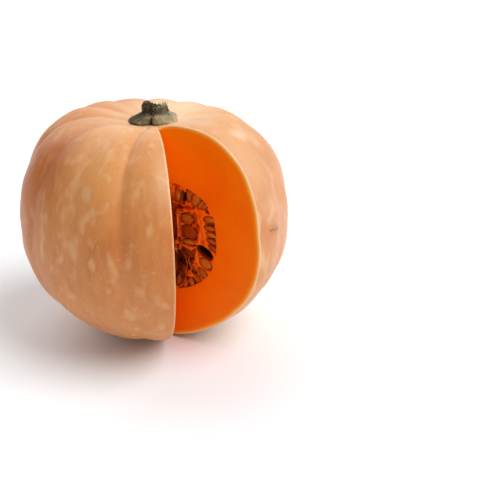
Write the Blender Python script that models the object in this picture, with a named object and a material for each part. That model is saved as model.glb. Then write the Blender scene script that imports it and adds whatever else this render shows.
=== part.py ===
"""A round, tan-skinned winter squash with one wedge cut out of it, from stem to base.

Metres, +Z up. The origin lies on the surface that the squash rests on, under its core
axis. The notch that the wedge left opens towards -Y. Azimuths are in degrees, counted
from -Y towards +X.
"""

import math
import random

import bmesh
import bpy
import numpy as np
from mathutils import Matrix, Vector

MM = 0.001
GAP = 0.3 * MM

# The body: a lobed, slightly flattened globe on a small flat base
WAIST_RADIUS = 97.0 * MM
WAIST_HEIGHT = 82.5 * MM
UPPER_HEIGHT = 92.6 * MM
LOWER_HEIGHT = 84.1 * MM
UPPER_POWER = 2.5
LOWER_POWER = 1.9
CROWN_DIP = 15.9 * MM
CROWN_DIP_RADIUS = 38.5 * MM
RIND = 2.0 * MM

# The crown isn't level: its rim rises per unit of radius towards one side, and on two
# opposite sides
CROWN_SLOPE = 0.036
CROWN_SLOPE_AZIMUTH = -57
CROWN_SADDLE = 0.026
CROWN_SADDLE_AZIMUTH = 30
CROWN_LIFT_FROM = 60.0 * MM
CROWN_LIFT_OVER = 95.0 * MM

# The grooves between the lobes: azimuth, and share of the full groove depth
GROOVES = (
    (-178, 0.5), (-149, 0.9), (-119, 1.0), (-98, 0.6), (-76, 0.8), (-47, 1.0), (-18, 1.0),
    (9, 1.0), (36, 1.0), (70, 1.0), (99, 0.9), (127, 0.6), (153, 0.9),
)
GROOVE_DEPTH = 3.6 * MM
GROOVE_FADE_IN = (9.0 * MM, 34.0 * MM)
GROOVE_DEPTH_AT_BASE = 0.3
LOBE_STEPS = 5

# The notch: two upright cuts that meet on a line just in front of the stem
NOTCH_APEX = (-7.3 * MM, -18.9 * MM)
NOTCH_HALF_ANGLE = 24.3
NOTCH_REACH = 160.0 * MM
NOTCH_TOP = 200.0 * MM

# The seed cavity, and the pulp and seeds that fill it
CAVITY_RADIUS = 62.5 * MM
CAVITY_HALF_HEIGHT = 44.0 * MM
CAVITY_HEIGHT = 81.0 * MM
CAVITY_UPPER_POWER = 3.4
CAVITY_LOWER_POWER = 2.2
CAVITY_COLUMNS = 28
CAVITY_ROWS = 15
PULP_RECESS = 4.0 * MM
SEED_LENGTH = 14.0 * MM
SEED_WIDTH = 8.0 * MM
SEED_THICKNESS = 4.4 * MM
SEED_FROM_WALL = 1.0 * MM
RING_SEEDS = 12
RING_HUB = 34.0 * MM
RING_ENDS = (60, -62)
LOST_SEED = 7
LOST_SEED_POCKET = 1.1

# The stem: a corky neck on a five-lobed foot
STEM_FOOT_RADIUS = 16.3 * MM
STEM_HEIGHT = 10.8 * MM
STEM_LOBES = 5
STEM_LOBE_AZIMUTH = -24
STEM_LEAN = (1.5 * MM, -1.0 * MM)
STEM_COLUMNS = 30
STEM_SEAT_RADIUS = 15.2 * MM
STEM_TOP_DIP = 0.6 * MM
STEM_GAP = 0.4 * MM


def clear_scene():
    for obj in list(bpy.data.objects):
        bpy.data.objects.remove(obj, do_unlink=True)


def make_material(name, colour, roughness):
    material = bpy.data.materials.new(name)
    material.use_nodes = True
    shader = material.node_tree.nodes["Principled BSDF"]
    shader.inputs["Base Color"].default_value = (*colour, 1.0)
    shader.inputs["Roughness"].default_value = roughness
    shader.inputs["Metallic"].default_value = 0.0
    return material


def link_mesh(name, mesh, material=None):
    obj = bpy.data.objects.new(name, mesh)
    bpy.context.scene.collection.objects.link(obj)
    if material is not None:
        mesh.materials.append(material)
        mesh.shade_smooth()
        mesh.set_sharp_from_angle(angle=math.radians(35))
    return obj


def body_profile(polar):
    """Radius and height of the unribbed body at a polar angle from the top of its core.

    Above and below the waist it is a superellipse; a bell-shaped dip lowers the crown.
    """
    upper = polar < math.pi / 2
    power = np.where(upper, UPPER_POWER, LOWER_POWER)
    height = np.where(upper, UPPER_HEIGHT, LOWER_HEIGHT)
    across = np.abs(np.sin(polar)) / WAIST_RADIUS
    along = np.abs(np.cos(polar)) / height
    reach = (across**power + along**power) ** (-1 / power)
    radius = reach * np.abs(np.sin(polar))
    dip = CROWN_DIP * np.exp(-((radius / CROWN_DIP_RADIUS) ** 2)) * upper
    return radius, WAIST_HEIGHT + reach * np.cos(polar) - dip


def groove_share(azimuth):
    """Share of the groove depth at an azimuth: full in a groove, nothing on a lobe's crest."""
    places = np.array([g[0] for g in GROOVES] + [GROOVES[0][0] + 360.0])
    depths = np.array([g[1] for g in GROOVES] + [GROOVES[0][1]])
    turned = (azimuth - places[0]) % 360.0 + places[0]
    lobe = np.clip(np.searchsorted(places, turned, side="right") - 1, 0, len(GROOVES) - 1)
    across = (turned - places[lobe]) / (places[lobe + 1] - places[lobe])
    crest = np.sin(math.pi * np.clip(across, 0, 1)) ** 0.7
    return (1 - crest) * (depths[lobe] * (1 - across) + depths[lobe + 1] * across)


def groove_fade(radius, height):
    """How deep the grooves are at a place on the profile.

    They start a little way out from the core axis, and get shallower from the shoulder to
    the base.
    """
    start = np.clip((radius - GROOVE_FADE_IN[0]) / (GROOVE_FADE_IN[1] - GROOVE_FADE_IN[0]), 0, 1)
    climb = np.clip(height / (WAIST_HEIGHT + 0.7 * UPPER_HEIGHT), 0, 1)
    return start * start * (3 - 2 * start) * (GROOVE_DEPTH_AT_BASE + (1 - GROOVE_DEPTH_AT_BASE) * climb)


def crown_lift(azimuth, radius, height):
    """How far a place stands above a level crown: a slope and a saddle, nothing lower down."""
    share = np.clip((height - CROWN_LIFT_FROM) / CROWN_LIFT_OVER, 0, 1)
    slope = CROWN_SLOPE * np.cos(np.radians(azimuth - CROWN_SLOPE_AZIMUTH))
    saddle = CROWN_SADDLE * np.cos(2 * np.radians(azimuth - CROWN_SADDLE_AZIMUTH))
    return share * share * (3 - 2 * share) * radius * (slope + saddle)


def body_points(polar, azimuth, inset):
    """Points of the lobed body, moved inwards by inset and cut flat at its base.

    Each point of the profile moves against its normal by the groove depth and the inset.
    """
    step = 1e-4
    radius, height = body_profile(polar)
    ahead = body_profile(polar + step)
    behind = body_profile(np.maximum(polar - step, 0))
    run, rise = ahead[0] - behind[0], ahead[1] - behind[1]
    length = np.hypot(run, rise)
    inwards = GROOVE_DEPTH * groove_share(azimuth) * groove_fade(radius, height) + inset
    radius = np.maximum(radius + rise / length * inwards, 0)
    height = np.maximum(height - run / length * inwards, inset)
    height = height + crown_lift(azimuth, radius, height)
    turn = np.radians(azimuth)
    return np.stack([radius * np.sin(turn), -radius * np.cos(turn), height], -1)


def lobe_azimuths():
    """Azimuths of the body's columns: each groove, and even steps over the lobe after it."""
    places = [g[0] for g in GROOVES] + [GROOVES[0][0] + 360]
    return np.concatenate([
        np.linspace(low, high, LOBE_STEPS, endpoint=False)
        for low, high in zip(places[:-1], places[1:])
    ])


def closed_grid(name, points, top, bottom):
    """A closed mesh from rings of points, top ring first, with a pole at each end.

    Every cell between two rings is split along the same diagonal, so two such meshes set
    one inside the other stay parallel.
    """
    rows, columns = points.shape[:2]
    vertices = np.concatenate([points.reshape(-1, 3), [top], [bottom]])
    index = np.arange(rows * columns).reshape(rows, columns)
    after = np.roll(index, -1, axis=1)
    lower = np.stack([index[:-1], index[1:], after[1:]], -1).reshape(-1, 3)
    upper = np.stack([index[:-1], after[1:], after[:-1]], -1).reshape(-1, 3)
    pole = np.full(columns, rows * columns)
    cap = np.stack([pole, index[0], after[0]], -1)
    foot = np.stack([pole + 1, after[-1], index[-1]], -1)
    mesh = bpy.data.meshes.new(name)
    mesh.from_pydata(vertices.tolist(), [], np.concatenate([cap, lower, upper, foot]).tolist())
    mesh.validate()
    return mesh


def body_mesh(name, inset):
    """The lobed body as rings of columns, its skin moved inwards by inset."""
    rings = [8, 14, 20, 26, 32, 38, 45, 52, 60, 68, 76, 84, 92, 100, 109, 118, 127, 136, 145, 154, 162, 169]
    polar, azimuth = np.meshgrid(np.radians(rings), lobe_azimuths(), indexing="ij")
    ends = body_points(np.array([0.001, math.pi - 0.001]), np.zeros(2), inset)
    top = (0, 0, ends[0][2])
    bottom = (0, 0, ends[1][2])
    return closed_grid(name, body_points(polar, azimuth, inset), top, bottom)


def superellipse_reach(polar, radius, height):
    """Distance from the cavity's middle to its edge at a polar angle, squarer above than below."""
    power = np.where(polar < math.pi / 2, CAVITY_UPPER_POWER, CAVITY_LOWER_POWER)
    across = np.abs(np.sin(polar)) / radius
    along = np.abs(np.cos(polar)) / height
    return (across**power + along**power) ** (-1 / power)


def cavity_mesh(name, inset):
    """The seed cavity: a superellipse turned about the core axis, moved inwards by inset."""
    polar = np.radians(np.linspace(0, 180, CAVITY_ROWS))[1:-1]
    azimuth = np.radians(np.arange(CAVITY_COLUMNS) * 360 / CAVITY_COLUMNS)
    height = CAVITY_HALF_HEIGHT - inset
    reach = superellipse_reach(polar, CAVITY_RADIUS - inset, height)
    ring = reach * np.sin(polar)
    level = CAVITY_HEIGHT + reach * np.cos(polar)
    points = np.stack([
        np.outer(ring, np.sin(azimuth)),
        -np.outer(ring, np.cos(azimuth)),
        np.outer(level, np.ones(CAVITY_COLUMNS)),
    ], -1)
    return closed_grid(name, points, (0, 0, CAVITY_HEIGHT + height), (0, 0, CAVITY_HEIGHT - height))


def cut_directions(side):
    """Level unit vectors of a cut, side -1 or 1: along it from the apex, and into the notch."""
    turn = math.radians(side * NOTCH_HALF_ANGLE)
    along = Vector((math.sin(turn), -math.cos(turn), 0))
    into = Vector((-side * math.cos(turn), -side * math.sin(turn), 0))
    return along, into


def notch_mesh(name, widen):
    """The wedge-shaped cutter: an upright prism whose faces stand back by widen."""
    back = widen / math.sin(math.radians(NOTCH_HALF_ANGLE))
    apex = Vector((NOTCH_APEX[0], NOTCH_APEX[1] + back, 0))
    left = apex + cut_directions(-1)[0] * NOTCH_REACH
    right = apex + cut_directions(1)[0] * NOTCH_REACH
    shape = bmesh.new()
    face = shape.faces.new([shape.verts.new(p - Vector((0, 0, 20 * MM))) for p in (apex, left, right)])
    grown = bmesh.ops.extrude_face_region(shape, geom=[face])
    tops = [g for g in grown["geom"] if isinstance(g, bmesh.types.BMVert)]
    bmesh.ops.translate(shape, verts=tops, vec=(0, 0, NOTCH_TOP + 20 * MM))
    bmesh.ops.recalc_face_normals(shape, faces=shape.faces)
    mesh = bpy.data.meshes.new(name)
    shape.to_mesh(mesh)
    shape.free()
    return mesh


def make_cutter(name, mesh):
    cutter = link_mesh(name, mesh)
    cutter.hide_render = True
    cutter.display_type = "WIRE"
    return cutter


def cut_away(obj, cutter):
    modifier = obj.modifiers.new("cut " + cutter.name, "BOOLEAN")
    modifier.operation = "DIFFERENCE"
    modifier.object = cutter


def apply_modifiers(obj):
    graph = bpy.context.evaluated_depsgraph_get()
    mesh = bpy.data.meshes.new_from_object(obj.evaluated_get(graph), depsgraph=graph)
    obj.modifiers.clear()
    obj.data = mesh


def make_rind(notch):
    """The skin, an even layer over the whole body, seen edge-on at both cuts."""
    rind = link_mesh("rind", body_mesh("rind", 0.0), make_material("rind", (0.74, 0.41, 0.20), 0.5))
    cut_away(rind, make_cutter("rind_inside", body_mesh("rind_inside", RIND)))
    cut_away(rind, notch)
    return rind


def make_flesh(notch):
    """The thick orange wall under the rind, round the seed cavity."""
    colour = make_material("flesh", (0.85, 0.17, 0.004), 0.4)
    flesh = link_mesh("flesh", body_mesh("flesh", RIND + GAP), colour)
    cut_away(flesh, make_cutter("cavity", cavity_mesh("cavity", 0.0)))
    cut_away(flesh, notch)
    return flesh


def wall_point(side, angle):
    """A point of the cavity's edge on a cut: distance along the cut, and height over mid-cavity."""
    along, into = cut_directions(side)
    apex = Vector((*NOTCH_APEX, 0))
    offset = abs(apex.dot(into))
    half_width = math.sqrt(CAVITY_RADIUS**2 - offset**2)
    reach = float(superellipse_reach(math.pi / 2 - angle, half_width, CAVITY_HALF_HEIGHT))
    return reach * math.cos(angle) - apex.dot(along), reach * math.sin(angle)


def add_seed(group, side, place, height, tilt, stretch):
    """One flat seed lying in a cut's face, tilt degrees up from pointing along the cut."""
    along, into = cut_directions(side)
    up = Vector((0, 0, 1))
    lean = math.radians(tilt)
    length = along * math.cos(lean) + up * math.sin(lean)
    width = up * math.cos(lean) - along * math.sin(lean)
    centre = Vector((*NOTCH_APEX, CAVITY_HEIGHT + height)) + along * place - into * PULP_RECESS
    frame = Matrix((length, width, into)).transposed().to_4x4()
    size = Matrix.Diagonal((stretch * SEED_LENGTH / 2, stretch * SEED_WIDTH / 2, SEED_THICKNESS / 2, 1))
    shape = bmesh.new()
    bmesh.ops.create_uvsphere(shape, u_segments=8, v_segments=5, radius=1.0)
    shape.transform(Matrix.Translation(centre) @ frame @ size)
    bmesh.ops.recalc_face_normals(shape, faces=shape.faces)
    mesh = bpy.data.meshes.new("seed")
    shape.to_mesh(mesh)
    shape.free()
    seed = bpy.data.objects.new("seed", mesh)
    group.objects.link(seed)


def add_seed_ring(group, pockets, side, draw):
    """Seeds round the cavity's edge on one cut, pointing outwards from the ring's hub.

    One of them is lost, and its place is a pocket in the pulp.
    """
    for number in range(RING_SEEDS):
        share = number / (RING_SEEDS - 1)
        angle = math.radians(RING_ENDS[0] * (1 - share) + RING_ENDS[1] * share)
        place, height = wall_point(side, angle)
        hub = RING_HUB + Vector((*NOTCH_APEX, 0)).dot(cut_directions(side)[0]) * -1
        outwards = Vector((place - hub, height)).normalized()
        stretch = draw.uniform(0.86, 1.0)
        back = SEED_LENGTH * stretch / 2 + SEED_FROM_WALL
        tilt = math.degrees(math.atan2(outwards.y, outwards.x)) + draw.uniform(-7, 7)
        lost = number == LOST_SEED
        add_seed(
            pockets if lost else group, side, place - outwards.x * back, height - outwards.y * back,
            tilt, stretch * LOST_SEED_POCKET if lost else stretch,
        )


def add_inner_seeds(group, side, draw):
    """A loose stack of broad seeds inside the ring, and two lower down."""
    for place, height, tilt in ((22, 15, 80), (21, 3, 96), (14, -14, 60), (25, -20, 25)):
        tilt += draw.uniform(-8, 8)
        add_seed(group, side, place * MM, height * MM, tilt, 1.05)


def new_group(name):
    group = bpy.data.collections.new(name)
    bpy.context.scene.collection.children.link(group)
    return group


def join_group(obj, group, operation):
    """Fuses a collection of closed shapes into obj, or cuts them out of it, and removes them."""
    modifier = obj.modifiers.new(group.name, "BOOLEAN")
    modifier.operation = operation
    modifier.operand_type = "COLLECTION"
    modifier.collection = group
    apply_modifiers(obj)
    for part in list(group.objects):
        bpy.data.objects.remove(part, do_unlink=True)
    bpy.data.collections.remove(group)


def make_pulp():
    """The fibrous pulp that fills the cavity, set back at the cuts, with the seeds in it."""
    colour = make_material("pulp_and_seeds", (0.42, 0.12, 0.015), 0.45)
    pulp = link_mesh("pulp_and_seeds", cavity_mesh("pulp_and_seeds", GAP), colour)
    setback = make_cutter("notch_for_pulp", notch_mesh("notch_for_pulp", PULP_RECESS))
    cut_away(pulp, setback)
    seeds = new_group("seeds")
    pockets = new_group("pockets")
    draw = random.Random(11)
    for side in (-1, 1):
        add_seed_ring(seeds, pockets, side, draw)
        add_inner_seeds(seeds, side, draw)
    join_group(pulp, pockets, "DIFFERENCE")
    join_group(pulp, seeds, "UNION")
    return pulp


def stem_side():
    """Rows of the stem from its foot's rim to its cut top: radius, height, lobe share."""
    foot = STEM_FOOT_RADIUS
    top = STEM_HEIGHT
    return np.array([
        (foot, 0.06 * top, 1.0),
        (foot * 1.01, 0.15 * top, 1.0),
        (foot * 0.86, 0.29 * top, 0.9),
        (foot * 0.68, 0.38 * top, 0.6),
        (foot * 0.57, 0.52 * top, 0.4),
        (foot * 0.54, 0.74 * top, 0.4),
        (foot * 0.56, 0.93 * top, 0.5),
        (foot * 0.47, top, 0.5),
    ])


def make_stem():
    """The corky stem: its underside follows the crown, its foot has five lobes."""
    azimuth = np.arange(STEM_COLUMNS) * 360 / STEM_COLUMNS
    turn = np.radians(azimuth)
    lobes = np.cos(STEM_LOBES * np.radians(azimuth - STEM_LOBE_AZIMUTH))
    radius, level, share = stem_side()[:, :, None].transpose(1, 0, 2)
    radius = radius * (1 + 0.11 * share * lobes)
    rim = radius[0]
    under = np.stack([rim * 0.93, rim * 0.5])
    radius = np.concatenate([under[::-1], radius])
    lean = np.concatenate([[0, 0], stem_side()[:, 1]]) / STEM_HEIGHT
    height = crown_height(radius, azimuth) + STEM_GAP
    height[2:] = crown_height(np.full_like(radius[2:], STEM_SEAT_RADIUS), azimuth) + STEM_GAP + level
    points = np.stack([
        radius * np.sin(turn) + STEM_LEAN[0] * lean[:, None],
        -radius * np.cos(turn) + STEM_LEAN[1] * lean[:, None],
        height,
    ], -1)
    bottom = (0, 0, crown_height(0.0, 0.0) + STEM_GAP)
    top = (*STEM_LEAN, points[-1, :, 2].mean() - STEM_TOP_DIP)
    colour = make_material("stem", (0.13, 0.12, 0.075), 0.8)
    mesh = closed_grid("stem", points[::-1], top, bottom)
    return link_mesh("stem", mesh, colour)


def crown_height(radius, azimuth):
    """Height of the unribbed crown at a distance from the core axis."""
    radii, heights = body_profile(np.linspace(0.0, 0.6, 400))
    height = np.interp(radius, radii, heights)
    return height + crown_lift(azimuth, radius, height)


def main():
    clear_scene()
    notch = make_cutter("notch", notch_mesh("notch", 0.0))
    make_rind(notch)
    make_flesh(notch)
    make_pulp()
    make_stem()


main()
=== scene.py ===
import math

import bmesh
import bpy
import numpy as np
from mathutils import Matrix, Vector


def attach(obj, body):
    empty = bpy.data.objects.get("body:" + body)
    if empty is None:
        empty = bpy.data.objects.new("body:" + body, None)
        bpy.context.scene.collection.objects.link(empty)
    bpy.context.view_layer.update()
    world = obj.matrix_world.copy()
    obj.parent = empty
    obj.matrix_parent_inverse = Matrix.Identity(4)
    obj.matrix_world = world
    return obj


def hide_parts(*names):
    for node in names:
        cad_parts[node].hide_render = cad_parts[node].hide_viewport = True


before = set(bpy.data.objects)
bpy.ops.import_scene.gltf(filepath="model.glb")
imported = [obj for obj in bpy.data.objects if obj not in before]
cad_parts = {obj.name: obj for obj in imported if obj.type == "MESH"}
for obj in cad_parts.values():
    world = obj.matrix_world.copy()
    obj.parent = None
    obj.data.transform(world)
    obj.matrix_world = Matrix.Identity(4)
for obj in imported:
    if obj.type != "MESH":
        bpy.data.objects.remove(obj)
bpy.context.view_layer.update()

# A tan winter squash with one wedge cut out of it. Metres, +Z up; azimuths are in degrees
# from -Y towards +X. A cut's side is 1 for the face on the +X side of the notch, and -1
# for the other one.
MM = 0.001

# The body, as in the solids: superellipses above and below the waist, and a dip in the crown
WAIST_RADIUS = 97 * MM
WAIST_HEIGHT = 82.5 * MM
UPPER_HEIGHT = 92.6 * MM
LOWER_HEIGHT = 84.1 * MM
UPPER_POWER = 2.5
LOWER_POWER = 1.9
CROWN_DIP = 15.9 * MM
CROWN_DIP_RADIUS = 38.5 * MM
RIND = 2 * MM

# The crown's slope and saddle: rise over radius, azimuth. They set in between two heights
CROWN_SLOPE = (0.036, -57)
CROWN_SADDLE = (0.026, 30)
CROWN_LIFT_HEIGHTS = (60 * MM, 155 * MM)

# The grooves between the lobes: azimuth, and share of the full groove depth
GROOVES = (
    (-178, 0.4), (-152, 0.6), (-124, 1), (-90, 0.6), (-66, 0.3), (-44, 0.9), (-18, 0.9),
    (9, 0.3), (36, 0.7), (70, 0.8), (99, 0.6), (127, 0.45), (153, 0.5),
)
GROOVE_DEPTH = 3.6 * MM
GROOVE_FADE_IN = (9 * MM, 34 * MM)
GROOVE_DEPTH_AT_BASE = 0.3
GROOVE_SOFTNESS = 0.18
GROOVE_SWAY = 1.3

# Shallow dents all over the body, and the dimple with the blossom scar under it
DENT_DEPTH = 0.34 * MM
DENT_LENGTHS = (19 * MM, 55 * MM)
BASE_SOFTNESS = 0.6 * MM
DIMPLE_HEIGHT = 2.2 * MM
DIMPLE_RADIUS = 6 * MM
BUTTON_HEIGHT = 0.5 * MM
BUTTON_RADIUS = 4.6 * MM
BUTTON_WIDTH = 0.9 * MM

# Soft patches of another tone: azimuth, height in mm, half widths in degrees and mm, strength.
# Blush is deep orange and partly painted shade, on the side away from the notch and the lamps and,
# weaker, beside its left cut. Gold is on the shoulder. Blotchy is a place on the other shoulder
# with pale blotches. Pale is next to both cuts and, as a painted highlight, on both sides of the
# crown. Spotted has more of the small mottles
PATCHES = {
    "blush_and_shade": (
        (-96, 138, 24, 30, 0.5), (-86, 149, 9, 16, 0.3),
        (-30, 84, 11, 42, 0.16),
    ),
    "gold": ((-45, 152, 26, 27, 0.6),),
    "blotchy": ((24, 150, 20, 24, 0.75),),
    "pale_and_painted_light": (
        (18, 140, 9, 26, 0.26), (-88, 166, 36, 10, 0.24),
        (-26, 143, 5, 17, 0.3), (122, 165, 36, 9, 0.36),
        (-69, 106, 8, 36, 0.1),
    ),
    "spotted": (
        (-67, 96, 10, 30, 1), (-39, 112, 6, 18, 0.8),
        (-35, 66, 8, 18, 0.8),
    ),
}

# Where the bloom round the stem fades out (radius), and the skin turns paler, partly as a painted
# highlight on the crown (height)
BLOOM_RADII = (13 * MM, 58 * MM)
PALE_ABOVE = (90 * MM, 168 * MM)

# A small corky scar on the side: azimuth, height, half widths, and where its crack fades out
SCAR_PLACE = (26.4, 96.9 * MM)
SCAR_REACH = (6.5 * MM, 5 * MM)
CRACK_ENDS = (4.6 * MM, 8.6 * MM)

# The notch, and how the knife rounded the rind's edges along it: depth under the skin, and
# distance behind the cut
NOTCH_APEX = (-7.3 * MM, -18.9 * MM)
NOTCH_HALF_ANGLE = 24.3
KNIFE_EDGE = ((0.0, 0.4 * MM), (0.12 * MM, 0.12 * MM), (0.4 * MM, 0.0), (RIND, 0.0))

# The flesh: the distance that its hidden faces are taken to have from rim and core, and the
# height above which it is yellower at the core
OUT_OF_SIGHT = 30 * MM
YELLOW_ABOVE = 130 * MM

# The seed cavity
CAVITY_RADIUS = 62.5 * MM
CAVITY_HALF_HEIGHT = 44 * MM
CAVITY_HEIGHT = 81 * MM
CAVITY_UPPER_POWER = 3.4
CAVITY_LOWER_POWER = 2.2

# The pulp: how far the knife left it behind the cut, its web of fibres, and the hub that its
# relief is laid out from, at mid-cavity: its distance along the cut from the apex line
PULP_RECESS = 3 * MM
WEB_LENGTHS = (8 * MM, 15 * MM)
WEB_WIDTH = 0.17
CAVITY_RAGGED = 0.45 * MM
SHALLOW = 7 * MM
RELIEF_HUB = 20 * MM
RELIEF_ROWS = 96
APEX_STEPS = 90
APEX_REACH = 7 * MM
POCKET_ROOM = 0.6 * MM

# Seeds in the far cut face, in mm and degrees: distance along the cut, height over
# mid-cavity, length, width, tilt up from pointing along the cut, depth of its middle, then
# its tone from tan to red-brown
SEEDS_IN_VIEW = (
    (14.8, 34.8, 11, 4.6, 93, 1.8, 0), (23.7, 35.4, 11.5, 4.4, 84, 2.4, 0.5),
    (29.9, 34.4, 14, 7.2, 68, 1.8, 0.2), (33.8, 30.6, 9.4, 4, 52, 2.2, 0.4),
    (37.2, 30.4, 9, 3.8, 38, 2, 0.3), (40.8, 20.6, 11.6, 4.9, 5, 1.7, 0.2),
    (41, 14, 10.8, 3.5, -2, 2, 0.5), (42.2, 9.2, 10.6, 3.8, -3, 1.7, 0.1),
    (42.4, 4, 10, 3.9, -12, 2.2, 0.6), (43, -1, 9, 3.4, -24, 2.2, 0.7),
    (36.8, -14.2, 12, 7.6, -24, 1.9, 0.3), (34.2, -22.4, 11.8, 5.8, -44, 2, 0.5),
    (29.8, -28.8, 12, 5.6, -56, 2, 0.7), (24.4, -32.8, 11.6, 4.8, -76, 2.2, 0.4),
    (18.6, -35.4, 11, 4.4, -92, 2.4, 0.6), (21.4, 17, 12, 9.2, 4, 3, 0.35),
    (22.6, 6.6, 14.6, 12.6, -4, 3.6, 1), (23.2, -0.8, 11.6, 4.2, -4, 2.4, 0.2),
    (22, -9.4, 13, 4.4, -34, 3.4, 0.6), (17.6, -13, 12.5, 4.6, -40, 5, 0.9),
    (25, -20.6, 12, 4.8, -50, 3.8, 0.7), (18, -25.6, 11.5, 4.6, -62, 4.2, 0.8),
    (12.6, -33, 10.5, 4.6, -100, 2.8, 0.5), (7, 30.5, 12, 5.2, 104, 3, 0.6),
)

# Hollows in the far cut face where a seed is lost or the pulp has shrunk: distance, height,
# length, width, tilt, depth
HOLLOWS_IN_VIEW = (
    (15, 42, 7.5, 3.4, 8, 2.2), (19.3, 33.8, 10.4, 4.4, 88, 8.5), (39, 26.6, 3.6, 3.2, 0, 5),
    (36, -5.4, 16, 8.8, -25, 12), (22, 11.5, 19, 22.5, 90, 3.4),
    (17.5, -16, 21, 16, 75, 6.4), (15, -29, 16, 12, 80, 5), (8.5, 8, 38, 11, 90, 3.5),
    (15.5, -39.6, 7, 4.6, -20, 4), (27.3, 26.6, 4.6, 2.4, 60, 4.5), (16.5, 24.5, 8, 4.5, -40, 4.8),
    (41.4, 17, 11, 2.4, 2, 5), (41.8, 11.6, 10.5, 2, -2, 4.6), (42.4, 6.6, 10, 2.2, -8, 5.2),
    (42.6, 1.6, 9.5, 2, -18, 4.8), (35.6, 29.4, 7.5, 1.8, 46, 4.6), (31.6, -26.6, 9, 2, -50, 5),
    (27, -31.4, 9.5, 2, -66, 5.2), (21.4, -34.6, 9.5, 2, -84, 5),
)

# Membranes in the far cut face that reach the cut: from, to (distance, height), half width
MEMBRANES_IN_VIEW = (
    (30.2, 24, 33.4, 12, 1.6), (33.4, 12, 32, 1.5, 1.6), (32, 1.5, 24.5, -4.6, 1.4),
    (24.5, -4.6, 11.5, -2.6, 1.3), (29.6, -3, 28.6, -13, 1.3), (28.6, -13, 26, -20, 1.3),
    (28.6, -13, 33, -17.6, 1.2),
    (35.4, 25.6, 35, 4, 1), (14, 22, 27, 24.8, 1.2), (13.5, 20, 14.5, 6, 1),
)

# Seeds in the near cut face, which follow a rule: a ring along the cavity's edge, as in the
# solids, and a few inside it
RING_SEEDS = 14
RING_ENDS = (70, -70)
RING_HUB = 30 * MM
LOST_SEED = 8
LOST_SEED_DEPTH = 9.0
SEED_LENGTH = 13.5 * MM
SEED_WIDTH = 6.4 * MM
SEED_THICKNESS = 3.4 * MM
SEED_TUMBLE = 9
SEED_GRID = (20, 20)
INNER_SEEDS = ((19, 17, 80), (20, 4, 96), (13, -13, 60), (23, -20, 30), (8, 27, 100), (6, -2, 75))
NEAR_HOLLOWS = ((22, 9, 24, 16, 88, 4.0), (19, -17, 20, 14, 65, 6.0))
NEAR_MEMBRANES = (
    (27, 26, 29, 8, 1.3), (29, 8, 28, -8, 1.3), (28, -8, 22, -27, 1.2),
    (28, -8, 12, -4, 1.1), (27, 26, 12, 24, 1.1),
)

# Loose fibres over each cut's pulp. Those are left out that come near the apex line, the
# cavity's wall (as a share of the way out to it) or a deep hollow (as a share of its size)
STRANDS = 18
STRAND_STEPS = 14
STRAND_RADIUS = 0.34 * MM
STRAND_CLEAR = 5 * MM
STRANDS_WITHIN = 0.97
OFF_HOLLOWS = 1.2

# The stem: rows from under its foot to its torn top, as radius and height over its seat in mm,
# then how much of the foot's lobes, of the neck's ridges and of the lean each row has
STEM_ROWS = (
    (0, -0.9, 0, 0, 0.2), (13, -0.9, 0.8, 0, 0.2), (16.8, -0.5, 1, 0.1, 0.2), (18, 0.5, 1, 0.2, 0.2),
    (17.8, 1.8, 1, 0.3, 0.2), (16.4, 3.2, 0.9, 0.3, 0.25), (13.6, 4.2, 0.7, 0.5, 0.35),
    (10.4, 4.9, 0.5, 0.8, 0.55), (8.4, 6, 0.2, 1, 0.8), (7.2, 7.8, 0, 1, 1), (7, 9.6, 0, 1, 1),
    (6.6, 10.5, 0, 1, 1), (5.6, 10.3, 0, 0.8, 1), (3, 9.7, 0, 0.3, 1), (0, 9.6, 0, 0, 1),
)
STEM_VALLEYS = ((-150, 0.6), (-45, 1.6), (100, 0.6), (155, 0.6))
STEM_VALLEY_SHARE = 0.44
STEM_FLATTER = (0.2, -36)
STEM_SEAT_RADIUS = 15.2 * MM
FULL_LEAN = np.array([3.6 * MM, -2.6 * MM, 0.0])
STEM_GRID = (110, 220)
STUB_AZIMUTH = -86
STUB_OFFSET = 3.4 * MM
STUB_RADIUS = 3.9 * MM
STUB_HEIGHTS = (2 * MM, 14.2 * MM)
STUB_GRID = (40, 49)
STEM_FIBRES = 46
FIBRE_FOOT = 9 * MM

# Rows of the skins: over the crown inside the notch's apex, along the cut, and at the base
BODY_ROWS = (14, 176, 14)
CAVITY_ROWS = (6, 120, 6)
APEX_LINE_ROWS = 28
RIND_COLUMNS = 330
HIDDEN_COLUMNS = 56
CUT_COLUMNS = 26
WELD = 2e-6

# The photograph's frame is 500 pixels square. The body's middle falls at AXIS_IN_FRAME
FRAME_PIXELS = 500
FOCAL_PIXELS = 1000
AXIS_IN_FRAME = (156.2, 224.1)
CAMERA_DISTANCE = 736 * MM
CAMERA_BEARING = -36.0
CAMERA_PITCH = 25.06
AIM_HEIGHT = 81.5 * MM
SENSOR = 36.0

# The studio: the floor, the strength of the white surround, and two far, broad lamps: bearing
# from the view's right towards its depth, climb, power, angle across
FLOOR_REACH = 12.0
FLOOR_WHITE = (0.92, 0.935, 0.95, 1.0)
SURROUND = 0.36
LAMPS = (("window_lamp", -16, 50, 2.52, 49), ("back_lamp", 116, 43, 1.3, 70))

# The notch's apex line, on the floor and at the middle of the cavity
APEX = np.array([*NOTCH_APEX, 0.0])
APEX_IN_CAVITY = np.array([*NOTCH_APEX, CAVITY_HEIGHT])
UP = np.array([0.0, 0.0, 1.0])


def tint(red, green, blue):
    """A colour picked from 0 to 255 a channel, as the linear values that shaders use."""
    share = np.array([red, green, blue]) / 255
    linear = np.where(share > 0.04045, ((share + 0.055) / 1.055) ** 2.4, share / 12.92)
    return (*linear.tolist(), 1.0)


def smooth(low, high, value):
    """Rises from 0 at low to 1 at high, level at both ends."""
    share = np.clip((value - low) / (high - low), 0, 1)
    return share * share * (3 - 2 * share)


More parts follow.
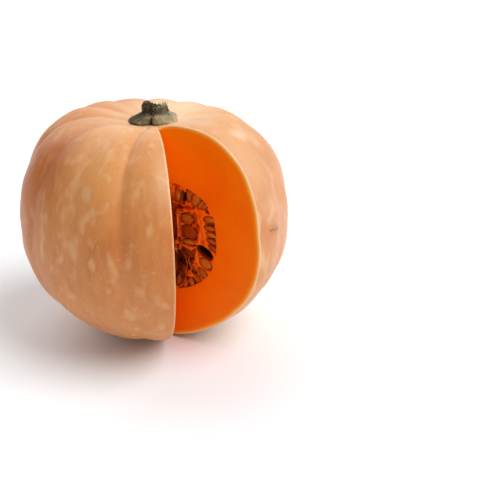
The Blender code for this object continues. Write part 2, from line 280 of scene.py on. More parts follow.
def bell(share):
    """1 at 0, falling off on both sides of it as a bell does."""
    return np.exp(-(share**2))


def turned(first, second, angle):
    """Two directions or measures that are square to each other, turned by an angle."""
    cos, sin = math.cos(angle), math.sin(angle)
    return first * cos + second * sin, second * cos - first * sin


def waves(points, lengths, count, seed):
    """A field of dents from -1 to 1: plane waves of mixed lengths and directions, added up."""
    draw = np.random.default_rng(seed)
    way = draw.normal(size=(count, points.shape[-1]))
    way /= np.linalg.norm(way, axis=1, keepdims=True)
    pace = 2 * math.pi / np.exp(draw.uniform(*np.log(lengths), count))
    turn = draw.uniform(0, 2 * math.pi, count)
    total = np.zeros(points.shape[:-1])
    for direction, rate, phase in zip(way, pace, turn):
        total += np.sin(points @ direction * rate + phase)
    return total / math.sqrt(count)


def oval_reach(polar, radius, height, power):
    """How far a superellipse reaches from its middle, at a polar angle from its top."""
    across = np.abs(np.sin(polar)) / radius
    along = np.abs(np.cos(polar)) / height
    return (across**power + along**power) ** (-1 / power)


def body_profile(polar):
    """Radius and height of the unribbed body at a polar angle from the top of its core.

    Above and below the waist it is a superellipse; a bell-shaped dip lowers the crown.
    """
    upper = polar < math.pi / 2
    power = np.where(upper, UPPER_POWER, LOWER_POWER)
    height = np.where(upper, UPPER_HEIGHT, LOWER_HEIGHT)
    reach = oval_reach(polar, WAIST_RADIUS, height, power)
    radius = reach * np.abs(np.sin(polar))
    dip = CROWN_DIP * bell(radius / CROWN_DIP_RADIUS) * upper
    return radius, WAIST_HEIGHT + reach * np.cos(polar) - dip


def groove_share(azimuth, grooves=GROOVES, softness=GROOVE_SOFTNESS, power=0.72):
    """Share of the groove depth at an azimuth: 1 in a groove, 0 on a lobe's crest.

    Between two grooves it is one minus a power of a half sine wave, rounded in the groove.
    """
    first_place, first_depth = grooves[0]
    places, depths = np.array([*grooves, (first_place + 360.0, first_depth)]).T
    turned = (azimuth - places[0]) % 360.0 + places[0]
    lobe = np.clip(np.searchsorted(places, turned, side="right") - 1, 0, len(grooves) - 1)
    across = (turned - places[lobe]) / (places[lobe + 1] - places[lobe])
    arch = np.sqrt(np.sin(math.pi * across) ** 2 + softness**2) - softness
    crest = (arch / (math.sqrt(1 + softness**2) - softness)) ** power
    return (1 - crest) * (depths[lobe] * (1 - across) + depths[lobe + 1] * across)


def groove_fade(radius, height):
    """How deep the grooves are on the profile: none at the stem, full at the shoulder."""
    climb = np.clip(height / (WAIST_HEIGHT + 0.7 * UPPER_HEIGHT), 0, 1)
    return smooth(*GROOVE_FADE_IN, radius) * (GROOVE_DEPTH_AT_BASE + (1 - GROOVE_DEPTH_AT_BASE) * climb)


def crown_lift(azimuth, radius, height):
    """How far a place stands above a level crown: a slope and a saddle, nothing lower down."""
    slope = CROWN_SLOPE[0] * np.cos(np.radians(azimuth - CROWN_SLOPE[1]))
    saddle = CROWN_SADDLE[0] * np.cos(2 * np.radians(azimuth - CROWN_SADDLE[1]))
    return smooth(*CROWN_LIFT_HEIGHTS, height) * radius * (slope + saddle)


def turned_points(radius, azimuth, height):
    """Points at a radius, an azimuth and a height: the sine goes to +X and the cosine to -Y."""
    turn = np.radians(azimuth)
    return np.stack(np.broadcast_arrays(radius * np.sin(turn), -radius * np.cos(turn), height), -1)


def body_points(polar, azimuth, inset):
    """Points of the lobed body, moved inwards by inset and cut flat at its base.

    Each point of the profile moves against its normal by the groove, the dents and the
    inset. A soft step keeps it above the base, where a bell-shaped dimple rises.
    """
    step = 1e-4
    radius, height = body_profile(polar)
    ahead = body_profile(polar + step)
    behind = body_profile(np.maximum(polar - step, 0))
    run, rise = ahead[0] - behind[0], ahead[1] - behind[1]
    length = np.hypot(run, rise)
    sway = azimuth + GROOVE_SWAY * np.sin(3.1 * polar + np.radians(2 * azimuth))
    dents = DENT_DEPTH * waves(turned_points(radius, azimuth, height), DENT_LENGTHS, count=14, seed=5)
    inwards = GROOVE_DEPTH * groove_share(sway) * groove_fade(radius, height) + dents + inset
    moved = np.maximum(radius + rise / length * inwards, 0)
    above = height - run / length * inwards - inset
    above = (above + np.sqrt(above**2 + BASE_SOFTNESS**2)) / 2
    under = polar > math.pi / 2
    dimple = DIMPLE_HEIGHT * bell(moved / DIMPLE_RADIUS)
    button = BUTTON_HEIGHT * bell((moved - BUTTON_RADIUS) / BUTTON_WIDTH)
    height = inset + above + under * (dimple - button)
    return turned_points(moved, azimuth, height + crown_lift(azimuth, moved, height))


def cavity_points(polar, azimuth):
    """The seed cavity's wall: a superellipse turned about the core axis, squarer above.

    Waves a few millimetres long make it ragged, as the seeds beside it do.
    """
    power = np.where(polar < math.pi / 2, CAVITY_UPPER_POWER, CAVITY_LOWER_POWER)
    reach = oval_reach(polar, CAVITY_RADIUS, CAVITY_HALF_HEIGHT, power)
    wall = turned_points(reach * np.sin(polar), azimuth, CAVITY_HEIGHT + reach * np.cos(polar))
    reach = reach + CAVITY_RAGGED * waves(wall, (6 * MM, 12 * MM), count=20, seed=13)
    return turned_points(reach * np.sin(polar), azimuth, CAVITY_HEIGHT + reach * np.cos(polar))


def notch_apex(back):
    """Where the two cuts meet, once both stand back from the notch by a distance."""
    return np.array([NOTCH_APEX[0], NOTCH_APEX[1] + back / math.sin(math.radians(NOTCH_HALF_ANGLE))])


def cut_axes(side):
    """Level unit vectors of a cut: along it from the apex, and out of it into the notch."""
    turn = math.radians(side * NOTCH_HALF_ANGLE)
    along = np.array([math.sin(turn), -math.cos(turn), 0.0])
    into = np.array([-side * math.cos(turn), -side * math.sin(turn), 0.0])
    return along, into


def apex_azimuth(back):
    """Azimuth of the line where the two cuts meet, once both stand back by a distance."""
    apex = notch_apex(back)
    return math.degrees(math.atan2(apex[0], -apex[1]))


def cut_azimuth(side, radius, back):
    """Azimuth at which a circle about the core axis crosses a cut that stands back."""
    apex = notch_apex(back)
    along = cut_axes(side)[0][:2]
    start = apex @ along
    reach = np.sqrt(np.maximum(start**2 - apex @ apex + radius**2, 0)) - start
    place = apex + reach[..., None] * along
    return np.degrees(np.arctan2(place[..., 0], -place[..., 1]))


def row_angles(surface, counts, back):
    """Polar angles of a surface's rows, with a row just where it passes the notch's apex line."""
    polar = np.linspace(1e-4, math.pi - 1e-4, 8001)
    place = surface(polar, np.full_like(polar, apex_azimuth(back)))
    radius = np.hypot(place[:, 0], place[:, 1])
    apex = np.hypot(*notch_apex(back))
    half = len(polar) // 2
    first = np.interp(apex, radius[:half], polar[:half])
    last = np.interp(-apex, -radius[half:], polar[half:])
    crown, cut, base = counts
    return np.concatenate([
        np.linspace(0, first, crown, endpoint=False),
        np.linspace(first, last, cut),
        np.linspace(last, math.pi, base + 1)[1:],
    ])


def border_azimuths(surface, counts, back):
    """For each row, the azimuths where it starts at one cut and ends, round the back, at the other.

    A cut's azimuth depends on the radius there, and that on the azimuth, so it is found by
    repeating. Rows inside the apex line go once round from the apex's azimuth.
    """
    polar = row_angles(surface, counts, back)
    ends = []
    for side in (1, -1):
        azimuth = np.full_like(polar, side * NOTCH_HALF_ANGLE)
        for _ in range(14):
            place = surface(polar, azimuth)
            azimuth = cut_azimuth(side, np.hypot(place[:, 0], place[:, 1]), back)
        crown, cut, _ = counts
        azimuth[:crown + 1] = apex_azimuth(back)
        azimuth[crown + cut - 1:] = apex_azimuth(back)
        ends.append(azimuth)
    return polar, ends[0], ends[1] + 360


def even(columns):
    """Shares from 0 to 1, evenly spaced."""
    return np.linspace(0, 1, columns)


def wrapped(surface, counts, back, columns):
    """A surface from cut to cut round the back: rows by columns of points, and their angles."""
    polar, first, last = border_azimuths(surface, counts, back)
    azimuth = first[:, None] + (last - first)[:, None] * even(columns)[None, :]
    polar = np.repeat(polar[:, None], columns, axis=1)
    return surface(polar, azimuth), polar, azimuth


def cut_line(grid, counts, side):
    """What a wrapped surface has along one cut: its first column there, or its last."""
    crown, cut, _ = counts
    return grid[crown:crown + cut, 0 if side == 1 else -1]


def quads(rows, columns, first):
    """Corner numbers of a grid's cells, its points numbered row by row from first."""
    index = first + np.arange(rows * columns).reshape(rows, columns)
    return np.stack([index[:-1, :-1], index[1:, :-1], index[1:, 1:], index[:-1, 1:]], -1).reshape(-1, 4)


def linked(name, data):
    """A new object in the scene, with this mesh, lens or light."""
    thing = bpy.data.objects.new(name, data)
    bpy.context.scene.collection.objects.link(thing)
    return thing


def sew(name, node, patches, finish, sharp=None):
    """One closed piece from grids of points whose borders coincide, in place of a CAD node.

    A patch is its grid of points and a dict of fields, each a number or a vector a point.
    The borders are merged, the faces turned outwards and shaded smooth, apart from edges
    past sharp degrees.
    """
    cells = []
    first = 0
    for points, _ in patches:
        rows, columns = points.shape[:2]
        cells.append(quads(rows, columns, first))
        first += rows * columns
    mesh = bpy.data.meshes.new(name)
    corners = np.concatenate([points.reshape(-1, 3) for points, _ in patches])
    mesh.from_pydata(corners.tolist(), [], np.concatenate(cells).tolist())
    for key, sample in patches[0][1].items():
        vector = np.ndim(sample) == 3
        layer = mesh.attributes.new(key, "FLOAT_VECTOR" if vector else "FLOAT", "POINT")
        values = [
            np.broadcast_to(fields[key], points.shape if vector else points.shape[:2]).ravel()
            for points, fields in patches
        ]
        values = np.concatenate(values).astype(np.float32)
        layer.data.foreach_set("vector" if vector else "value", values)
    shape = bmesh.new()
    shape.from_mesh(mesh)
    bmesh.ops.remove_doubles(shape, verts=shape.verts, dist=WELD)
    bmesh.ops.recalc_face_normals(shape, faces=shape.faces)
    shape.to_mesh(mesh)
    shape.free()
    mesh.materials.append(finish)
    mesh.shade_smooth()
    if sharp is not None:
        mesh.set_sharp_from_angle(angle=math.radians(sharp))
    piece = linked(name, mesh)
    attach(piece, "root")
    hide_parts(node)


def tube(path, radius, sides=6):
    """A closed tube round a path of points, its radius given a point and 0 at both ends."""
    along = np.gradient(path, axis=0)
    along /= np.linalg.norm(along, axis=1, keepdims=True)
    upright = abs(along[0, 2]) >= 0.8
    aside = np.cross(along, (1.0, 0.2, 0.1) if upright else (0.31, 0.17, 0.93))
    aside /= np.linalg.norm(aside, axis=1, keepdims=True)
    over = np.cross(along, aside)
    turn = np.linspace(0, 2 * math.pi, sides + 1)[None, :, None]
    ring = aside[:, None] * np.cos(turn) + over[:, None] * np.sin(turn)
    return path[:, None] + radius[:, None, None] * ring


def wire(node, sockets):
    """Gives each named socket of a node its value, or links it from another node's output."""
    for key, value in sockets.items():
        if isinstance(value, bpy.types.NodeSocket):
            node.id_data.links.new(value, node.inputs[key])
        else:
            node.inputs[key].default_value = value


def put(beside, kind, sockets, **settings):
    """Adds a shader node to the tree that something is in, with its settings and its sockets."""
    node = beside.id_data.nodes.new("ShaderNode" + kind)
    for key, value in settings.items():
        setattr(node, key, value)
    wire(node, sockets)
    return node


def field(tree, name, output="Fac"):
    """Reads one of the piece's attributes."""
    return put(tree, "Attribute", {}, attribute_name=name).outputs[output]


def grain(vector, scale, detail=3.0, roughness=0.55, distortion=0.0):
    """Cloudy noise from 0 to 1; scale is its patches per metre, or per unit of the vector."""
    noise = put(vector, "TexNoise", {"Vector": vector, "Scale": scale, "Detail": detail})
    wire(noise, {"Roughness": roughness, "Distortion": distortion})
    return noise.outputs["Fac"]


def between(value, low, high, end=1.0, start=0.0):
    """Start where the value is low, end where it is high, eased between them."""
    sockets = {"Value": value, "From Min": low, "From Max": high, "To Min": start, "To Max": end}
    return put(value, "MapRange", sockets, interpolation_type="SMOOTHSTEP").outputs["Result"]


def painted(first, *layers):
    """Lays further colours over a first one in turn, each with the share that it gets."""
    colour = tint(*first)
    for share, over in layers:
        colour = put(share, "Mix", {0: share, 6: colour, 7: tint(*over)}, data_type="RGBA").outputs[2]
    return colour


def plus(first, second):
    """The sum of an output and a number or another output."""
    return put(first, "Math", {0: first, 1: second}, operation="ADD").outputs[0]


def times(first, second):
    """The product of an output and a number or another output."""
    return put(first, "Math", {0: first, 1: second}, operation="MULTIPLY").outputs[0]


def swing(noise, width):
    """A noise from 0 to 1, moved to swing either side of 0 by half a width."""
    return times(plus(noise, -0.5), width)


def relief(height, distance, strength, under=None):
    """A bump, of a height from 0 to 1 times a distance in metres, over an earlier one."""
    bump = put(height, "Bump", {"Height": height, "Distance": distance, "Strength": strength})
    if under is not None:
        wire(bump, {"Normal": under})
    return bump.outputs["Normal"]


def new_finish(name):
    """A new material, its node tree, and the output of its Object coordinates."""
    finish = bpy.data.materials.new(name)
    finish.use_nodes = True
    tree = finish.node_tree
    return finish, tree, put(tree, "TexCoord", {}).outputs["Object"]


def glazed(finish, colour, roughness, specular, normal=None):
    """The finish, once its shader has been given colour, roughness, specular level and bumps."""
    shader = finish.node_tree.nodes["Principled BSDF"]
    wire(shader, {"Base Color": colour, "Roughness": roughness, "Specular IOR Level": specular})
    if normal is not None:
        wire(shader, {"Normal": normal})
    return finish


def rind_finish():
    """Waxy tan skin: soft mottles and dots, a bloom round the stem, a pale ragged cut edge, and painted
    light and shade in its tones.
    """
    finish, tree, place = new_finish("tan_rind")
    meridian = field(tree, "meridian", "Vector")
    rounder = put(tree, "VectorMath", {0: meridian, 1: (1, 1, 1.8)}, operation="MULTIPLY").outputs[0]
    clouds = grain(place, 20.0)
    streaks = grain(meridian, 22.0, 3.0, 0.5, 0.15)
    dots = grain(rounder, 62.0, 1.0, 0.4)
    crowd = between(grain(place, 11.0, 1.0, 0.5), 0.4, 0.6, 0.05, -0.08)
    mottle = plus(grain(rounder, 13.0, 1.5, 0.45, 0.1), crowd)
    mottle = plus(mottle, times(field(tree, "spotted"), 0.07))
    blotch = between(grain(place, 24.0, 2.0, 0.5), 0.46, 0.66)
    ragged = swing(grain(place, 300.0), 0.0016)
    edge = plus(field(tree, "edge_distance"), ragged)
    depth = plus(field(tree, "inset"), times(ragged, 0.3))
    rim_tone = field(tree, "rim_tone")
    skin = painted(
        (190, 102, 38),
        (between(clouds, 0.34, 0.68), (204, 124, 56)),
        (field(tree, "gold"), (226, 154, 74)),
        (between(streaks, 0.40, 0.72, 0.3), (214, 142, 76)),
        (between(streaks, 0.30, 0.46, 0.0, 0.2), (178, 92, 36)),
        (between(mottle, 0.52, 0.74, 0.62), (222, 166, 116)),
        (between(dots, 0.66, 0.78, 0.35), (230, 184, 136)),
        # Painted shade darkens the grooves, partly as their own tone. The pale field holds painted
        # light on the lit side, a painted highlight on the crown and painted bounce light low down. The
        # blush field holds painted shade on the side away from the lamps
        (field(tree, "groove"), (188, 100, 44)),
        (field(tree, "pale_and_painted_light"), (238, 198, 156)),
        (field(tree, "blush_and_shade"), (166, 76, 6)),
        (times(blotch, field(tree, "blotchy")), (248, 214, 186)),
        (times(between(edge, 0.0003, 0.0016, 0.0, 0.75), rim_tone), (252, 208, 158)),
        (times(between(depth, 0.0001, 0.0004, 0.8), rim_tone), (255, 204, 134)),
        (between(depth, 0.0005, 0.0013, 0.9), (252, 162, 58)),
        (field(tree, "scar"), (146, 104, 66)),
        (field(tree, "crack"), (150, 80, 26)),
    )
    wax = between(clouds, 0.3, 0.7, 0.46, 0.34)
    pores = relief(grain(place, 700.0, 2.0), 0.00008, 0.5)
    return glazed(finish, skin, wax, 0.17, relief(streaks, 0.0006, 0.25, pores))


def soft_patches(azimuth, height, patches):
    """Patches of the skin, each with its strength in its middle and fading out as a bell."""
    total = 0
    for middle, level, wide, tall, strength in patches:
        aside = ((azimuth - middle + 180) % 360 - 180) / wide
        over = (height - level * MM) / (tall * MM)
        total = total + strength * np.exp(-(aside**2) - over**2)
    return total


def scar_fields(azimuth, radius, height, polar):
    """How corky the skin is at its side's scar and under the base, and how dark in the crack."""
    under = (1 - smooth(3.2 * MM, 5.4 * MM, radius)) * (polar > 2)
    place, level = SCAR_PLACE
    right, up = (azimuth - place) * math.radians(1) * radius, height - level
    around = np.hypot(right / SCAR_REACH[0], up / SCAR_REACH[1])
    scar = np.maximum(under, 0.28 * (1 - smooth(0.4, 1.2, around)))
    bent = np.abs(up + 0.28 * right + 0.45 * MM * np.sin(right / (0.9 * MM)))
    wide = 0.75 * MM + np.clip(0.14 * right, -0.4 * MM, 0.7 * MM)
    crack = 0.7 * (1 - smooth(0.5, 1.5, bent / wide)) * (1 - smooth(*CRACK_ENDS, np.abs(right)))
    return {"scar": scar, "crack": crack}


def rind_fields(points, polar, azimuth, inset):
    """Fields of the rind: a vector round and down it, tones with painted light and shade, grooves, cut
    edge, depth, scars.
    """
    turn = np.radians(azimuth)
    radius = np.hypot(points[..., 0], points[..., 1])
    height = points[..., 2]
    fields = {key: soft_patches(azimuth, height, patches) for key, patches in PATCHES.items()}
    # Painted light: the skin is paler on the side towards azimuth 85, where the lamps fall, and higher
    # up, partly as a painted highlight on the crown
    lit = smooth(-0.2, 1.0, np.cos(turn - math.radians(85)))
    high = smooth(*PALE_ABOVE, height)
    bloom = (1 - smooth(*BLOOM_RADII, radius)) * (polar < 1)
    # Painted bounce light from the floor: the skin is paler low down
    low = 0.14 * (1 - smooth(0, 100 * MM, height)) + 0.12 * (1 - smooth(84 * MM, 128 * MM, height))
    tone = (0.22 + 0.10 * high) * lit + 0.20 * high + 0.48 * bloom + low
    fields["pale_and_painted_light"] = np.clip(tone + fields["pale_and_painted_light"], 0, 1)
    # Painted light: the pale blotches are stronger on the lit side
    fields["blotchy"] = fields["blotchy"] + 0.12 * lit
    # Painted shade: the skin is darker in the grooves, partly as their own tone
    fields["groove"] = 0.4 * groove_share(azimuth) * groove_fade(radius, height) * (1 - bloom)
    closing = (radius / WAIST_RADIUS) ** 0.6
    fields["meridian"] = np.stack([closing * np.sin(turn), -closing * np.cos(turn), 0.30 * polar], -1)
    behind = np.maximum(*(-(points - APEX) @ cut_axes(side)[1] for side in (1, -1)))
    fields["edge_distance"] = np.clip(behind, 0, 8 * MM)
    left_cut = 1 - smooth(-20 * MM, 0, points[..., 0])
    fields["rim_tone"] = 1 - 0.5 * left_cut * (1 - smooth(105 * MM, 145 * MM, height))
    fields["inset"] = np.broadcast_to(inset, polar.shape)
    return {**fields, **scar_fields(azimuth, radius, height, polar)}


def skin_at(inset):
    """The body's surface at a depth under the skin, for a polar angle and an azimuth."""
    return lambda polar, azimuth: body_points(polar, azimuth, inset)


def rind_skin():
    """The skin: its outer surface, the knife-rounded strips along both cuts, and its inside."""
    patches = []
    for (inset, back), columns in ((KNIFE_EDGE[0], RIND_COLUMNS), (KNIFE_EDGE[-1], HIDDEN_COLUMNS)):
        grids = wrapped(skin_at(inset), BODY_ROWS, back, columns)
        patches.append((grids[0], rind_fields(*grids, inset)))
    lines = [wrapped(skin_at(inset), BODY_ROWS, back, 2) for inset, back in KNIFE_EDGE]
    insets = [inset for inset, _ in KNIFE_EDGE]
    for side in (1, -1):
        grids = [np.stack([cut_line(g, BODY_ROWS, side) for g in part], 1) for part in zip(*lines)]
        patches.append((grids[0], rind_fields(*grids, insets)))
    sew("rind_skin", "rind", patches, rind_finish(), 60)


def flesh_finish():
    """Moist deep orange flesh, with fibres, yellower in a band under the rind and at the core."""
    finish, tree, place = new_finish("orange_flesh")
    clouds = grain(place, 40.0)
    fibres = grain(place, 320.0, 4.0, 0.65)
    core = field(tree, "core_distance")
    wander = plus(field(tree, "rim_distance"), times(clouds, 0.0010))
    flesh = painted(
        (246, 113, 1),
        (between(clouds, 0.38, 0.64), (249, 120, 2)),
        (between(fibres, 0.50, 0.78, 0.25), (252, 142, 8)),
        (between(core, 0.0, 0.055, 0.0, 0.9), (252, 148, 4)),
        (between(wander, 0.0009, 0.0030, 0.0, 0.85), (243, 150, 14)),
    )
    return glazed(finish, flesh, 0.42, 0.08, relief(fibres, 0.00022, 0.4))


def flesh_wall():
    """The thick flesh: outside, cavity wall, and two plain faces ruled from rim to cavity.

    A face's inner border is the cavity's edge, and the apex line above and below it.
    """
    outside = wrapped(skin_at(RIND), BODY_ROWS, 0.0, HIDDEN_COLUMNS)[0]
    cavity = wrapped(cavity_points, CAVITY_ROWS, 0.0, HIDDEN_COLUMNS)[0]
    hidden = {"rim_distance": OUT_OF_SIGHT, "core_distance": OUT_OF_SIGHT}
    patches = [(outside, hidden), (cavity, hidden)]
    shares = (1 - np.cos(math.pi * even(CUT_COLUMNS))) / 2
    for side in (1, -1):
        outer, edge = cut_line(outside, BODY_ROWS, side), cut_line(cavity, CAVITY_ROWS, side)
        down = np.linspace(outer[0], edge[0], APEX_LINE_ROWS, endpoint=False)
        on = np.linspace(edge[-1], outer[-1], APEX_LINE_ROWS + 1)[1:]
        inner = np.concatenate([down, edge, on])
        points = outer[:, None] + (inner - outer)[:, None] * shares[None, :, None]
        core = (points - APEX) @ cut_axes(side)[0]
        core = core + 0.5 * np.maximum(YELLOW_ABOVE - points[..., 2], 0)
        rim = np.linalg.norm(points - outer[:, None], axis=-1)
        patches.append((points, {"rim_distance": rim, "core_distance": core}))
    sew("flesh_wall", "flesh", patches, flesh_finish(), 35)


def on_cut(side, along, height, depth):
    """Points in the pulp from distances along a cut, heights over mid-cavity and depths behind it.

    Towards the apex line the way back turns to the notch's middle plane, so that both cuts'
    faces meet there.
    """
    way, into = cut_axes(side)
    bend = depth / math.tan(math.radians(NOTCH_HALF_ANGLE)) * bell(along / APEX_REACH)
    level = APEX_IN_CAVITY + (along - bend)[..., None] * way - depth[..., None] * into
    return level + height[..., None] * UP


def cavity_share(side, along, height):
    """0 at the middle of the cavity, 1 at its wall, for places on a cut."""
    way, into = cut_axes(side)
    radius = np.hypot(along + APEX @ way, APEX @ into)
    power = np.where(height > 0, CAVITY_UPPER_POWER, CAVITY_LOWER_POWER)
    across = (radius / CAVITY_RADIUS) ** power
    return (across + (np.abs(height) / CAVITY_HALF_HEIGHT) ** power) ** (1 / power)


def inside_oval(along, height, oval, room=0.0):
    """0 at an oval's middle, 1 on its edge, for places on a cut; room widens it all round."""
    place, level, length, width, tilt = oval[:5]
    run, rise = turned(along - place * MM, height - level * MM, math.radians(tilt))
    return np.hypot(run / (length / 2 * MM + room), rise / (width / 2 * MM + room))


def beside_line(along, height, line):
    """Distance from a line between two places on a cut, as a share of the line's half width."""
    start, end = np.array(line[:2]) * MM, np.array(line[2:4]) * MM
    place = np.stack([along, height], -1) - start
    share = np.clip(place @ (end - start) / ((end - start) @ (end - start)), 0, 1)
    return np.linalg.norm(place - share[..., None] * (end - start), axis=-1) / (line[4] * MM)


def pulp_depth(side, along, height, seeds, hollows, membranes):
    """How far the pulp lies behind a cut: little at its rim, more inside, deep in the hollows.

    A web of thin ridges, where a field of waves is near 0, comes back up to the cut. Each
    seed sits in a pocket with a thin raised wall, and each hollow is a steep-sided bowl.
    Membranes are ridges along given lines.
    """
    share = cavity_share(side, along, height)
    space = on_cut(side, along, height, np.zeros_like(along))
    recess = PULP_RECESS * (1 - smooth(0.72, 0.90, share))
    web = bell(waves(space, WEB_LENGTHS, 18, 21) / WEB_WIDTH)
    lumps = 0.35 * MM * waves(space, (2.5 * MM, 6 * MM), 16, 8) * (recess > 0)
    depth = recess * (1 - 0.8 * web) + lumps
    spoke = np.arctan2(height, along - RELIEF_HUB)
    fibre = np.stack([np.cos(spoke) * 16, np.sin(spoke) * 16, share * 2.5], -1)
    depth += 0.3 * MM * waves(fibre, (0.8, 2.2), 14, 4) * smooth(0.0, 0.4 * MM, recess)
    free = smooth(1 * MM, 5 * MM, along)
    bowls = []
    for oval in hollows:
        inside = 1 - smooth(0.62, 1.06, inside_oval(along, height, oval))
        bowls.append(free * oval[5] * MM * inside)
    depth = np.maximum(depth, np.minimum(np.max(bowls, axis=0), SHALLOW))
    sway = 0.35 * waves(space, (5 * MM, 11 * MM), 12, 33)
    for line in membranes:
        ridge = bell(beside_line(along, height, line) + sway)
        depth = depth * (1 - 0.92 * ridge * free)
    for oval in seeds:
        around = inside_oval(along, height, oval, POCKET_ROOM)
        wall = bell((around - 1.12) / 0.11) * free
        depth = depth * (1 - 0.6 * wall)
        pocket = (oval[5] + 1.1) * MM * (1 - smooth(0.80, 1.02, around))
        depth = np.maximum(depth, free * pocket)
    deep = np.max([bowl for bowl, oval in zip(bowls, hollows) if oval[5] * MM > SHALLOW], axis=0)
    return np.maximum(np.maximum(depth, deep), 0) * smooth(1.0, 0.985, share)


def pulp_hollow_shade(along, height, hollows):
    """Painted shade of the pulp: 1 in the deep hollows, 0 outside them."""
    shares = []
    for oval in hollows:
        inside = 1 - smooth(0.80, 1.04, inside_oval(along, height, oval))
        shares.append(smooth(3.2, 8.4, oval[5]) * inside)
    return np.max(shares, axis=0)


def ring_ovals(side):
    """Seeds by rule on a cut: a ring along the cavity's edge, pointing out from a hub, and a few.

    Returns the seeds, the hollows, one of which a lost seed left, and the membranes.
    """
    draw = np.random.default_rng(17)
    way, into = cut_axes(side)
    half_width = math.sqrt(CAVITY_RADIUS**2 - (APEX @ into) ** 2)
    seeds = []
    lost = None
    for number, angle in enumerate(np.radians(np.linspace(*RING_ENDS, RING_SEEDS))):
        power = CAVITY_UPPER_POWER if angle > 0 else CAVITY_LOWER_POWER
        reach = oval_reach(math.pi / 2 - angle, half_width, CAVITY_HALF_HEIGHT, power)
        place, level = reach * math.cos(angle) - APEX @ way, reach * math.sin(angle)
        outwards = math.atan2(level, place - RING_HUB + APEX @ way)
        length = SEED_LENGTH * draw.uniform(0.78, 0.98)
        back = length / 2 + 1.2 * MM
        middle = (place - math.cos(outwards) * back, level - math.sin(outwards) * back)
        tilt = math.degrees(outwards) + draw.uniform(-9, 9)
        width = SEED_WIDTH * draw.uniform(0.7, 1.0)
        oval = (middle[0] / MM, middle[1] / MM, length / MM, width / MM, tilt)
        seed = (*oval, draw.uniform(1.8, 2.6), draw.uniform(0, 0.7))
        if number == LOST_SEED:
            lost = (*oval, LOST_SEED_DEPTH)
        elif middle[0] > 4 * MM:
            seeds.append(seed)
    for place, level, tilt in INNER_SEEDS:
        size = draw.uniform(0.9, 1.05)
        tilt += draw.uniform(-10, 10)
        oval = (place, level, SEED_LENGTH * size / MM, 1.25 * SEED_WIDTH * size / MM, tilt)
        seeds.append((*oval, draw.uniform(3.2, 4.2), draw.uniform(0.2, 0.9)))
    return seeds, (lost, *NEAR_HOLLOWS), NEAR_MEMBRANES


def pulp_finish():
    """Wet pulp: the flesh's orange where it reaches the cut, darker red-brown to near black deeper in
    it as painted shade.
    """
    finish, tree, place = new_finish("stringy_pulp")
    depth = field(tree, "depth")
    inner = between(depth, 0.0002, 0.0012)
    rough = grain(place, 420.0, 4.0, 0.65, 0.6)
    deep = plus(depth, times(swing(rough, 0.0022), inner))
    brown = between(grain(place, 130.0, 3.0, 0.6), 0.52, 0.66, 0.6)
    # Painted shade: the pulp is near black in the deep hollows
    hollow_shade = times(field(tree, "hollow_shade"), between(rough, 0.35, 0.65, 0.75, 1.0))
    pulp = painted(
        (248, 118, 1),
        (between(deep, 0.0004, 0.0015), (224, 88, 8)),
        # Painted shade: darker red-brown to near black the deeper the pulp lies behind the cut
        (between(deep, 0.0013, 0.0034), (166, 62, 8)),
        (between(deep, 0.0034, 0.0070), (74, 25, 6)),
        (times(brown, inner), (166, 84, 16)),
        (hollow_shade, (46, 12, 4)),
    )
    return glazed(finish, pulp, 0.36, 0.12, relief(rough, 0.0005, 0.6))


def pulp_web(layout):
    """The pulp: a relief on each cut, laid out in rays from a hub, and its wall in the cavity."""
    cut = CAVITY_ROWS[1]
    wall = wrapped(cavity_points, CAVITY_ROWS, 0.0, HIDDEN_COLUMNS)[0]
    shares = even(RELIEF_ROWS) ** 0.8
    patches = []
    for side in (1, -1):
        rim = cut_line(wall, CAVITY_ROWS, side)
        along = np.maximum((rim - APEX_IN_CAVITY) @ cut_axes(side)[0], 0)
        height = rim[:, 2] - CAVITY_HEIGHT
        climb = np.linspace(height[-1], height[0], APEX_STEPS)[1:]
        along = np.concatenate([along, np.zeros_like(climb)])
        height = np.concatenate([height, climb])
        run = RELIEF_HUB + (along - RELIEF_HUB)[:, None] * shares
        rise = height[:, None] * shares
        depth = pulp_depth(side, run, rise, *layout[side])
        points = on_cut(side, run, rise, depth)
        patches.append((points, {"depth": depth, "hollow_shade": pulp_hollow_shade(run, rise, layout[side][1])}))
        rim[:] = points[:cut, -1]
    patches.append((wall, {"depth": 0.0, "hollow_shade": 0.0}))
    sew("pulp_web", "pulp_and_seeds", patches, pulp_finish())


def seed_finish():
    """Seeds still wet with pulp: tan shells with an orange-brown film, darker at their margins, and
    darker as painted shade in a deep hollow.
    """
    finish, tree, place = new_finish("seed_shell")
    film = grain(place, 240.0, 3.0, 0.6, 0.5)
    shell = painted(
        (216, 142, 42),
        (field(tree, "shade"), (170, 78, 16)),
        (between(film, 0.46, 0.70, 0.7), (202, 98, 15)),
        (between(field(tree, "margin"), 0.62, 0.94, 0.7), (142, 60, 11)),
        (field(tree, "hollow_shade"), (84, 34, 8)),
    )
    return glazed(finish, shell, 0.30, 0.25, relief(film, 0.0004, 0.4))


def seed_points():
    """A flat seed of unit size: a squashed globe, pointed at one end, with a raised margin.

    Its poles are the two ends of its length. Its faces are flat but for a shallow groove
    inside the margin. Returns the points and how near each is to the margin.
    """
    polar = np.linspace(0, math.pi, SEED_GRID[0])[:, None]
    turn = np.linspace(0, 2 * math.pi, SEED_GRID[1])[None, :]
    run = np.cos(polar) * np.ones_like(turn)
    across = np.sin(polar) * np.cos(turn)
    side = np.sign(np.round(np.sin(polar) * np.sin(turn), 9))
    spread = np.minimum(np.hypot(run, across), 1)
    margin_groove = 0.24 * bell((spread - 0.72) / 0.1)
    face = np.sqrt(np.maximum(1 - spread**4, 0)) * (0.86 - margin_groove)
    point = 1 - 0.42 * smooth(0.25, 1.0, run) + 0.04 * run
    return np.stack([run, across * point, side * face], -1), spread


